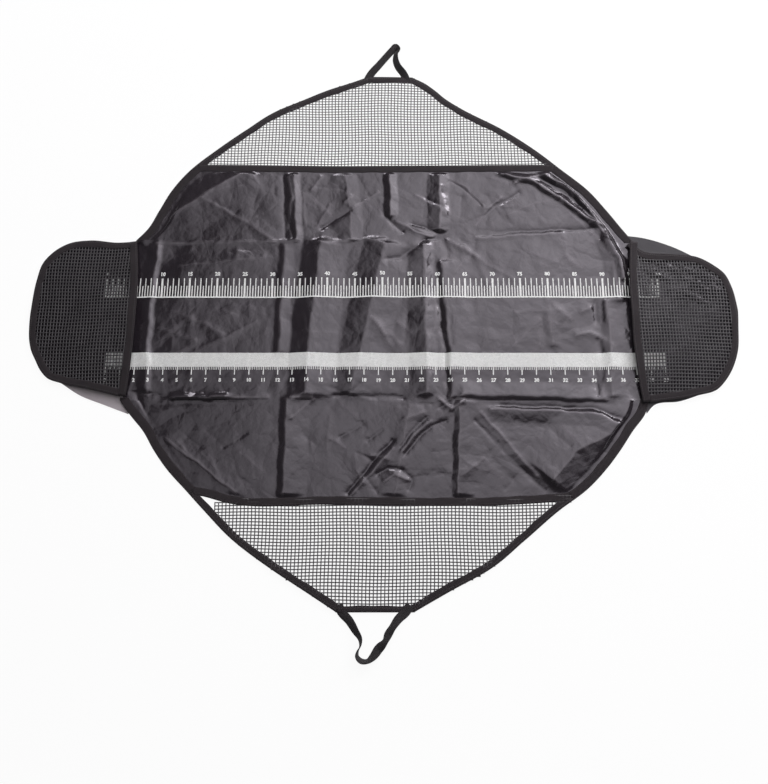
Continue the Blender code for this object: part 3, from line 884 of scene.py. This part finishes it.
def thicken(mesh, thickness):
    """Give a sheet its thickness, upwards from its underside, with crisp rims."""
    bm = bmesh.new()
    bm.from_mesh(mesh)
    top = bmesh.ops.extrude_face_region(bm, geom=bm.faces[:], use_keep_orig=True)["geom"]
    upper = [item for item in top if isinstance(item, bmesh.types.BMVert)]
    bmesh.ops.translate(bm, verts=upper, vec=(0, 0, thickness))
    bmesh.ops.recalc_face_normals(bm, faces=bm.faces[:])
    for edge in bm.edges:
        edge.smooth = edge.calc_face_angle(0) < CRISP_ANGLE
    bm.to_mesh(mesh)
    bm.free()


# Pale lines along the creases, for the shader: scuffed coating, and a painted highlight
def mark_worn(mesh, scuffed_and_highlit):
    layer = mesh.attributes.new("scuffed_and_highlit", "FLOAT", "POINT")
    layer.data.foreach_set("value", scuffed_and_highlit.astype(np.float32))


def rim_line(end, count=120, inset=0.0):
    """A hood's outer edge, moved inwards by an inset."""
    line = even_line(RIMS[end], count)
    way = np.gradient(line, axis=0)
    way /= np.linalg.norm(way, axis=1)[:, None]
    inward = np.stack([way[:, 1], -way[:, 0]], axis=1) * ENDS[end]
    return line + inward * inset


def rim_half(line, side):
    """The back or front half of a hood's outline, from the mouth out to its tip."""
    tip = int(np.argmax(np.abs(line[:, 0])))
    return line[: tip + 1] if side == "back" else line[tip:][::-1]


def half_y(half, x):
    """Where half an outline runs, at places along the mat."""
    return np.interp(np.abs(x), np.abs(half[:, 0]), half[:, 1])


def mouth_x(y):
    """How far out the mouth's free edge lies at y."""
    return MOUTH_X + MOUTH_BOW * np.abs(y / MOUTH_HALF) ** MOUTH_POWER


def floor_edge(side, x):
    """Distance from the centre line to the floor sheet's edge, at places along the mat."""
    full = MOUTH_X + MOUTH_BOW
    knots = [(-full, CREASE[side]), (full, CREASE[side])]
    for end in ENDS:
        half = rim_half(rim_line(end, inset=TUCK), side)
        knots += [(px, abs(py)) for px, py in half if abs(px) > MOUTH_X + POCKET_CORNER]
    knots = np.array(sorted(knots))
    return np.interp(x, knots[:, 0], knots[:, 1])


def sheet_height(x, y, fade):
    """Underside of a tarpaulin sheet; fade is 0 at a tape and 1 away from it."""
    rise, scuffed_and_highlit = creased(x, y)
    height = swell(x, y) + SHEET_LIFT + fade * rise
    return np.maximum(height, LOWEST), scuffed_and_highlit * fade


def lay_floor(finish, pocket_shaded_finish):
    """The floor and the pockets' bottoms, in one creased sheet."""
    mesh, grid = unit_grid("floor_tarpaulin", *FLOOR_GRID)
    left = min(x for x, _ in RIMS["left"]) + TUCK
    right = max(x for x, _ in RIMS["right"]) - TUCK
    x = left + (right - left) * grid[:, 0]
    back = floor_edge("back", x)
    front = -floor_edge("front", x)
    y = front + (back - front) * grid[:, 1]
    in_pocket = smooth_share((np.abs(x) - POCKET_START) / POCKET_FADE)
    rim_gap = np.minimum(np.minimum(y - front, back - y), np.minimum(x - left, right - x))
    slack = np.where(x > 0, POCKET_SLACK["right"], POCKET_SLACK["left"])
    fade = 1 - in_pocket * (1 - slack * smooth_share(rim_gap / POCKET_FADE))
    z, scuffed_and_highlit = sheet_height(x, y, fade)
    set_places(mesh, x, y, z)
    mark_worn(mesh, scuffed_and_highlit)
    thicken(mesh, SHEET)
    piece = add_piece(mesh, finish)
    # The pockets' floors take the duller copy, whose lower gloss paints in the shade under the hood nets
    mesh.materials.append(pocket_shaded_finish)
    for face in mesh.polygons:
        face.material_index = int(abs(face.center.x) > MOUTH_X + MOUTH_BOW)
    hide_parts("floor_sheet")
    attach(piece, "floor")
    return piece


def lay_wing(side, finish):
    """A wing's creased sheet, from the long crease out to the seam."""
    sign = SIDES[side]
    mesh, grid = unit_grid(f"wing_tarpaulin_{side}", *WING_GRID)
    crease = CREASE[side]
    seam = seam_line(side, 0.0)
    for _ in range(4):  # the seam isn't straight, so the sheet's places settle in rounds
        out = crease + (seam - crease) * grid[:, 1]
        left = side_edge(side, "left", out) + TUCK
        right = side_edge(side, "right", out) - TUCK
        x = left + (right - left) * grid[:, 0]
        seam = seam_line(side, x)
    tape = TAPE_WIDTH["wing"]
    side_gap = np.minimum(x - left, right - x) * SLANT - tape
    seam_gap = seam - out - TAPE_WIDTH["seam"] / 2
    fade = smooth_share(np.minimum(side_gap, seam_gap) / EDGE_FADE + 0.15)
    z, scuffed_and_highlit = sheet_height(x, sign * out, fade)
    set_places(mesh, x, sign * out, z)
    mark_worn(mesh, scuffed_and_highlit)
    thicken(mesh, SHEET)
    piece = add_piece(mesh, finish)
    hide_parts(f"wing_sheet_{side}")
    bend(piece)


def bend(piece):
    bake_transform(piece)


def bend_hood(piece):
    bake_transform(piece)


def tape_section(width, height):
    """Half-round tape section, as (inwards from the edge, up) points round it."""
    steps = 7
    points = []
    for i in range(steps):
        turn = math.pi * i / (steps - 1)
        points.append((height / 2 * (1 - math.sin(turn)), height / 2 * (1 - math.cos(turn))))
    crown = [(width * 0.25, height * 1.02), (width * 0.5, height * 1.0), (width * 0.78, height * 0.86)]
    inner = [
        (width - 0.0006, height * 0.80),
        (width, height * 0.62),
        (width, height * 0.30),
        (width - 0.0005, 0.0002),
    ]
    under = [(width * 0.6, 0.0), (width * 0.3, 0.0)]
    return np.array(points + crown + inner + under)


def section_tube(name, section, line, place):
    """Sweep a closed section along a line; place turns section points and line rows into positions."""
    mesh, grid = unit_grid(name, len(section), len(line) - 1)
    corner = np.rint(grid[:, 0] * len(section)).astype(int) % len(section)
    row = np.rint(grid[:, 1] * (len(line) - 1)).astype(int)
    set_places(mesh, *place(section[corner], row))
    around = run_lengths(np.vstack([section, section[:1]]))[-1]
    scale_uv(mesh, around, run_lengths(line)[-1])
    bm = bmesh.new()
    bm.from_mesh(mesh)
    bmesh.ops.remove_doubles(bm, verts=bm.verts[:], dist=1e-6)
    rims = [edge for edge in bm.edges if edge.is_boundary]
    bmesh.ops.holes_fill(bm, edges=rims, sides=0)
    bmesh.ops.recalc_face_normals(bm, faces=bm.faces[:])
    bm.to_mesh(mesh)
    bm.free()
    return mesh


def line_normals(line, inside):
    """Unit normals of a line in plan, pointing towards the inside point."""
    way = np.gradient(line[:, :2], axis=0)
    way /= np.linalg.norm(way, axis=1)[:, None]
    normal = np.stack([-way[:, 1], way[:, 0]], axis=1)
    towards = np.asarray(inside) - line[:, :2]
    if np.sum(normal * towards) < 0:
        normal = -normal
    return normal


def raised(height, lift):
    """A height function that lies higher by a lift."""
    return lambda x, y: height(x, y) + lift


def bind(name, line, inside, width, finish, height_at):
    """A folded tape whose outer edge follows a line, at a height given by a function."""
    section = tape_section(width, TAPE_HEIGHT)
    normals = line_normals(line, inside)
    lengths = run_lengths(line)
    uneven = TAPE_WOBBLE * (np.sin(lengths * 61 + len(name)) + np.sin(lengths * 143 + line[0, 0] * 50))

    def place(points, row):
        spread = points[:, 0] * (1 + uneven[row] / width)
        x = line[row, 0] + normals[row, 0] * spread
        y = line[row, 1] + normals[row, 1] * spread
        return x, y, height_at(x, y) + points[:, 1]

    mesh = section_tube(name, section, line, place)
    return add_piece(mesh, finish)


def lay_side_bindings(side, finish):
    """Tapes on the slanting edges of a wing and its net."""
    sign = SIDES[side]
    half = TAPE_WIDTH["seam"] / 2
    for end in ENDS:
        seam = float(seam_line(side, SIDE_EDGES[side][SEAM_ROW][1 if end == "left" else 2]))
        spans = {
            "wing": (CREASE[side] - TAPE_LAP, seam + half),
            "net": (seam + half + TAPE_GAP, END_EDGE[side] + TAPE_OVERRUN),
        }
        for part, (start, stop) in spans.items():
            out = np.linspace(start, stop, SIDE_STEPS)
            line = np.stack([side_edge(side, end, out), sign * out], axis=1)
            inside = (0, sign * start)
            piece = bind(f"{part}_binding_{side}_{end}", line, inside, TAPE_WIDTH[part], finish, swell)
            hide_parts(f"{part}_edge_tape_{side}_{end}")
            if part == "wing":
                bend(piece)
            else:
                bend(piece)


def lay_seam_binding(side, finish):
    """The tape over the seam between a wing and its net."""
    half = TAPE_WIDTH["seam"] / 2
    left, right = (float(side_edge(side, end, seam_line(side, SEAM_END * ENDS[end]))) for end in ENDS)
    x = np.linspace(left + SEAM_INSET, right - SEAM_INSET, SEAM_STEPS)
    line = np.stack([x, SIDES[side] * (seam_line(side, x) + half)], axis=1)
    piece = bind(f"seam_binding_{side}", line, (0, 0), TAPE_WIDTH["seam"], finish, swell)
    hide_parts(f"seam_tape_{side}")
    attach(piece, f"wing_{side}")


def lay_end_binding(side, finish):
    """The tape on a net's narrow outer edge."""
    out = END_EDGE[side]
    left, right = (float(side_edge(side, end, out)) for end in ENDS)
    x = np.linspace(left + END_INSET, right - END_INSET, END_STEPS)
    line = np.stack([x, np.full(END_STEPS, SIDES[side] * out)], axis=1)
    width = TAPE_WIDTH[f"end_{side}"]
    piece = bind(f"end_binding_{side}", line, (0, 0), width, finish, raised(swell, END_LIFT))
    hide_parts(f"end_tape_{side}")
    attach(piece, f"net_{side}")


def weave(name, corner, columns, rows, pitch, strand, keep, height, finish):
    """Square mesh of strands over the cells that keep says are inside."""
    bm = bmesh.new()
    width, depth = columns * pitch[0], rows * pitch[1]
    centre = Matrix.Translation((corner[0] + width / 2, corner[1] + depth / 2, 0))
    place = centre @ Matrix.Diagonal((width, depth, 1, 1))
    bmesh.ops.create_grid(bm, x_segments=columns, y_segments=rows, size=0.5, matrix=place)
    outside = [face for face in bm.faces if not keep(*face.calc_center_median()[:2])]
    bmesh.ops.delete(bm, geom=outside, context="FACES")
    bmesh.ops.wireframe(bm, faces=bm.faces[:], thickness=strand, use_replace=True, use_boundary=True,
                        use_even_offset=True)
    mesh = finished_mesh(bm, name)
    x, y, z = corner_places(mesh).T
    x = x + NET_WAVER * np.sin(y * 42 + x * 9)
    y = y + NET_WAVER * np.sin(x * 37 - y * 11)
    set_places(mesh, x, y, height(x, y) + z)
    return add_piece(mesh, finish)


def lay_net(side, finish):
    """The net between a seam tape and an end tape."""

    def keep(x, y):
        out = abs(y)
        left = float(side_edge(side, "left", out)) + HEM
        if side == "front" and x < OPEN_FROM_X:
            left += OPEN_WIDTH * float(smooth_share((OPEN_OUT - out) / OPEN_FADE))
            if out < OPEN_SEAM:
                return False
        right = float(side_edge(side, "right", out)) - HEM
        inner = float(seam_line(side, x)) - SEAM_HEM
        return left < x < right and inner < out < END_EDGE[side] - END_HEM

    def height(x, y):
        return swell(x, y) + NET_LIFT + 0.0006 * np.sin(x * 70 + y * 25) * np.sin(y * 55)

    columns, rows = NET_CELLS
    left = -PITCH_ACROSS * columns / 2 - NET_SHIFT
    low = NET_START if side == "back" else -NET_START - rows * PITCH_OUT
    pitch = (PITCH_ACROSS, PITCH_OUT)
    piece = weave(f"net_mesh_{side}", (left, low), columns, rows, pitch, STRAND[side], keep, height, finish)
    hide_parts(f"net_panel_{side}")
    bend(piece)


def hood_height(end):
    """Height of a hood's underside: low at the rim and raised at the mouth."""
    line = rim_line(end)
    back, front = (rim_half(line, side) for side in SIDES)
    reach = np.abs(line[:, 0]).max() - MOUTH_X

    def height(x, y):
        upper, lower = half_y(back, x), half_y(front, x)
        middle = (upper + lower) / 2
        half = np.maximum((upper - lower) / 2, 0.01)
        to_mouth = np.clip(1 - (np.abs(x) - MOUTH_X) / reach, 0, 1)
        crown = np.clip(1 - ((y - middle) / half) ** 2, 0, 1)
        puff = np.sin(x * 48 + y * 20) * np.sin(y * 44 - x * 13) + 0.6 * np.sin(x * 90 - y * 71)
        rise = HOOD_LIFT * to_mouth * (0.35 + 0.65 * crown) + HOOD_PUFF * crown * (0.6 + 0.4 * puff)
        return swell(x, y) + HOOD_EDGE_LIFT + rise

    return height


def lay_hood(end, net, tape):
    """The net over a pocket, with its rim and mouth tapes."""
    sign = ENDS[end]
    height = hood_height(end)
    inner_rim = rim_line(end, inset=HEM)
    back, front = (rim_half(inner_rim, side) for side in SIDES)
    tip = np.abs(inner_rim[:, 0]).max()

    def keep(x, y):
        return mouth_x(y) + TUCK < abs(x) < tip and half_y(front, x) < y < half_y(back, x)

    columns, rows = HOOD_CELLS
    corner = (min(sign * MOUTH_X, sign * (MOUTH_X + columns * PITCH_OUT)), -rows * PITCH_ACROSS / 2)
    pitch = (PITCH_OUT, PITCH_ACROSS)
    above = raised(height, HOOD_NET_LIFT)
    mesh_piece = weave(f"hood_mesh_{end}", corner, columns, rows, pitch, STRAND[end], keep, above, net)
    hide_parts(f"hood_net_{end}")

    inside = (sign * HOOD_MIDDLE, 0)
    rim = rim_line(end, count=RIM_STEPS)
    rim_piece = bind(f"rim_binding_{end}", rim, inside, TAPE_WIDTH["rim"], tape, height)
    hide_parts(f"rim_tape_{end}")

    y = np.linspace(RIMS[end][0][1], RIMS[end][-1][1], MOUTH_STEPS)
    mouth = np.stack([sign * mouth_x(y), y], axis=1)
    above = raised(height, MOUTH_LIFT)
    mouth_piece = bind(f"mouth_binding_{end}", mouth, inside, TAPE_WIDTH["mouth"], tape, above)
    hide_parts(f"mouth_tape_{end}")
    for piece in (mesh_piece, rim_piece, mouth_piece):
        bend_hood(piece)


def lay_web(side, end, finish):
    """The small web beside a pocket, tucked under the rim."""
    mesh, grid = unit_grid(f"pocket_web_{side}_{end}", *WEB_GRID)
    points, flat, area = WEBS[f"{side}_{end}"]
    outer = even_line(points, WEB_GRID[0])
    half = rim_half(rim_line(end, count=400, inset=WEB_TUCK), side)
    inner_y = half_y(half, outer[:, 0])
    column = np.rint(grid[:, 0] * WEB_GRID[0]).astype(int)
    share = smooth_share(grid[:, 1])
    x = outer[column, 0]
    y = inner_y[column] + (outer[column, 1] - inner_y[column]) * share
    lift = np.clip((HOOD_BEND[0] - np.abs(x)) / (HOOD_BEND[0] - HOOD_BEND[1]), 0, 1)
    lift = lift * (1 - smooth_share(grid[:, 1] / 0.35))
    low, high = WEB_HEIGHTS
    set_places(mesh, x, y, low + (high - low) * lift)
    thicken(mesh, SHEET)
    piece = add_piece(mesh, finish)
    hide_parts(f"gusset_{side}_{end}")
    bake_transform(piece)


def strap_section():
    """Rounded webbing section about its centre."""
    corner = 0.0007
    half, thick = STRAP_WIDTH / 2 - corner, STRAP_THICKNESS / 2 - corner
    points = []
    for along, up in ((1, 1), (-1, 1), (-1, -1), (1, -1)):
        for turn in (0, 45, 90) if along * up > 0 else (90, 45, 0):
            turn = math.radians(turn)
            flat = along * (half + corner * math.cos(turn))
            points.append((flat, up * (thick + corner * math.sin(turn))))
    return np.array(points)


def lay_handle(side, finish):
    """A loop of webbing that twists as it lies."""
    rows = np.array(HANDLE_LINES[side], float)
    line = even_line(rows, STRAP_STEPS)
    way = np.gradient(line[:, :2], axis=0)
    way /= np.linalg.norm(way, axis=1)[:, None]
    twist = np.radians(line[:, 2])
    rise = STRAP_LIFT + STRAP_WIDTH / 2 * np.abs(np.sin(twist))
    section = strap_section()

    def place(points, row):
        flat = points[:, 0] * np.cos(twist[row]) - points[:, 1] * np.sin(twist[row])
        up = points[:, 0] * np.sin(twist[row]) + points[:, 1] * np.cos(twist[row])
        return line[row, 0] - way[row, 1] * flat, line[row, 1] + way[row, 0] * flat, rise[row] + up

    mesh = section_tube(f"handle_loop_{side}", section, line[:, :2], place)
    piece = add_piece(mesh, finish)
    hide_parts(f"handle_{side}")
    bend(piece)


def add_bar(bm, centre, size, cells):
    """A printed bar, cut in cells so that it can follow the sheet."""
    place = Matrix.Translation((*centre, 0)) @ Matrix.Diagonal((*size, 1, 1))
    bmesh.ops.create_grid(bm, x_segments=cells[0], y_segments=cells[1], size=0.5, matrix=place)


def add_number(bm, number, centre, height):
    """A printed number, from flat text turned into a mesh."""
    curve = bpy.data.curves.new("number", "FONT")
    curve.body = str(number)
    curve.size = height * 1.4  # a figure stands about 0.7 of its text size high
    curve.offset = NUMBER_BOLDNESS
    curve.align_x = "CENTER"
    curve.align_y = "CENTER"
    curve.resolution_u = 2
    text = bpy.data.objects.new("number", curve)
    bpy.context.scene.collection.objects.link(text)
    shape = text.to_mesh()
    part = bmesh.new()
    part.from_mesh(shape)
    text.to_mesh_clear()
    bpy.data.objects.remove(text)
    bmesh.ops.translate(part, verts=part.verts[:], vec=(*centre, 0))
    mesh = finished_mesh(part, "number")
    bm.from_mesh(mesh)
    bpy.data.meshes.remove(mesh)


def print_centimetres(bm):
    for n in range(CM_COUNT + 1):
        x = CM_ZERO + n * CM
        fifth = n % 5 == 0
        width = BOLD_LINE if fifth else THIN_LINE
        add_bar(bm, (x, CM_BASELINE + CM_TICK / 2), (width, CM_TICK), (1, 12))
        if n < CM_COUNT:
            centre = (x + CM / 2, CM_BASELINE + CM_HALF_TICK / 2)
            add_bar(bm, centre, (THIN_LINE, CM_HALF_TICK), (1, 8))
        if fifth:
            add_number(bm, n, (x, CM_NUMBER_Y), CM_NUMBER_HEIGHT)
    length = CM_COUNT * CM
    add_bar(bm, (CM_ZERO + length / 2, CM_BASELINE), (length, BASE_LINE), (340, 1))


def print_inches(bm):
    bottom = INCH_BAND_TOP - INCH_BAND_LENGTH
    for n in range(INCH_COUNT * 16 + 1):
        x = INCH_ZERO + n * INCH / 16
        add_bar(bm, (x, INCH_BAND_TOP - INCH_BAND_LENGTH / 2), (BAND_LINE, INCH_BAND_LENGTH), (1, 9))
        if n % 16 == 0:
            add_bar(bm, (x, bottom - INCH_TICK / 2), (THIN_LINE, INCH_TICK), (1, 5))
        elif n % 2 == 0:
            add_bar(bm, (x, bottom - INCH_EIGHTH_TICK / 2), (EIGHTH_LINE, INCH_EIGHTH_TICK), (1, 2))
    for n in range(INCH_COUNT + 1):
        add_number(bm, n, (INCH_ZERO + n * INCH, INCH_NUMBER_Y), INCH_NUMBER_HEIGHT)


def press_on(mesh, sheet):
    """Set a print on the sheet that carries it."""
    graph = bpy.context.evaluated_depsgraph_get()
    surface = BVHTree.FromObject(sheet, graph)
    for vert in mesh.vertices:
        hit = surface.ray_cast(Vector((vert.co.x, vert.co.y, 0.1)), Vector((0, 0, -1)))[0]
        if hit:
            vert.co.z = hit.z + INK


def lay_ruler(name, draw, sheet, finish):
    bm = bmesh.new()
    draw(bm)
    mesh = finished_mesh(bm, name)
    press_on(mesh, sheet)
    piece = add_piece(mesh, finish)
    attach(piece, "floor")


def add_panel(number, near, far, radiance):
    """A level panel of the softbox, from a near corner to a far one, facing down."""
    name = f"softbox_{number}"
    lamp = bpy.data.lights.new(name, "AREA")
    lamp.shape = "RECTANGLE"
    lamp.size, lamp.size_y = np.subtract(far, near)
    lamp.energy = radiance * math.pi * lamp.size * lamp.size_y
    lamp.color = LIGHT_COLOUR
    light = bpy.data.objects.new(name, lamp)
    middle = np.add(far, near) / 2
    light.location = (*middle, LIGHT_HEIGHT + PANEL_STEP * number)
    bpy.context.scene.collection.objects.link(light)


def add_studio():
    """Pale ground, soft light from behind and to the right, and the camera."""
    bm = bmesh.new()
    bmesh.ops.create_grid(bm, x_segments=1, y_segments=1, size=GROUND_HALF)
    mesh = finished_mesh(bm, "ground")
    mesh.materials.append(ground_finish())
    ground = bpy.data.objects.new("ground", mesh)
    bpy.context.scene.collection.objects.link(ground)

    for number, (near, far, radiance) in enumerate(SOFTBOX):
        add_panel(number, near, far, radiance)

    world = bpy.data.worlds.new("studio")
    bpy.context.scene.world = world
    world.use_nodes = True
    sky = Nodes(world.node_tree)
    background = sky.tree.nodes["Background"]
    seen = sky.value("ShaderNodeLightPath", output="Is Camera Ray")
    sky.feed(background.inputs["Color"], (1, 1, 1, 1))
    sky.feed(background.inputs["Strength"], seen * (1 - WORLD_LIGHT) + WORLD_LIGHT)

    camera = bpy.data.objects.new("camera", bpy.data.cameras.new("camera"))
    camera.location = CAMERA_PLACE
    camera.rotation_euler = (math.radians(CAMERA_TILT), 0, 0)
    camera.data.lens = CAMERA_LENS
    camera.data.shift_x, camera.data.shift_y = CAMERA_SHIFT
    bpy.context.scene.collection.objects.link(camera)
    bpy.context.scene.camera = camera
    bpy.context.scene.view_settings.view_transform = "Standard"


def lay_mat():
    tarpaulin = tarpaulin_finish("tarpaulin", 0.62)
    # A duller copy of the tarpaulin for the pockets' floors, so they show darker: painted shade, standing
    # in for the shade of the hood nets
    dull_shaded_tarpaulin = tarpaulin_finish("dull_shaded_tarpaulin", 0.33)
    web = web_finish("web_cloth", (0.020, 0.018, 0.021), (0.050, 0.046, 0.052))
    # A light grey copy of the web cloth, for the front-left web only: painted light, standing in for the
    # light that web catches
    web_painted_light = web_finish("web_painted_light", (0.200, 0.182, 0.192), (0.400, 0.365, 0.380))
    side_net = net_finish("net_strands", (0.026, 0.022, 0.026), (0.055, 0.050, 0.055))
    hood_net = net_finish("hood_strands", (0.024, 0.021, 0.024), (0.052, 0.048, 0.052))
    tape = tape_finish("binding_tape", (0.009, 0.006, 0.008), (0.027, 0.022, 0.024), TAPE_WIDTH["wing"])
    strap = tape_finish("webbing", (0.012, 0.010, 0.011), (0.028, 0.025, 0.027), STRAP_WIDTH)
    ink = ink_finish()
    floor = lay_floor(tarpaulin, dull_shaded_tarpaulin)
    for side in SIDES:
        lay_wing(side, tarpaulin)
        lay_net(side, side_net)
        lay_side_bindings(side, tape)
        lay_seam_binding(side, tape)
        lay_end_binding(side, tape)
        lay_handle(side, strap)
        for end in ENDS:
            # the front-left web takes the copy with painted light
            lay_web(side, end, web_painted_light if (side, end) == ("front", "left") else web)
    for end in ENDS:
        lay_hood(end, hood_net, tape)
    lay_ruler("ruler_centimetres", print_centimetres, floor, ink)
    lay_ruler("ruler_inches", print_inches, floor, ink)


lay_mat()
add_studio()
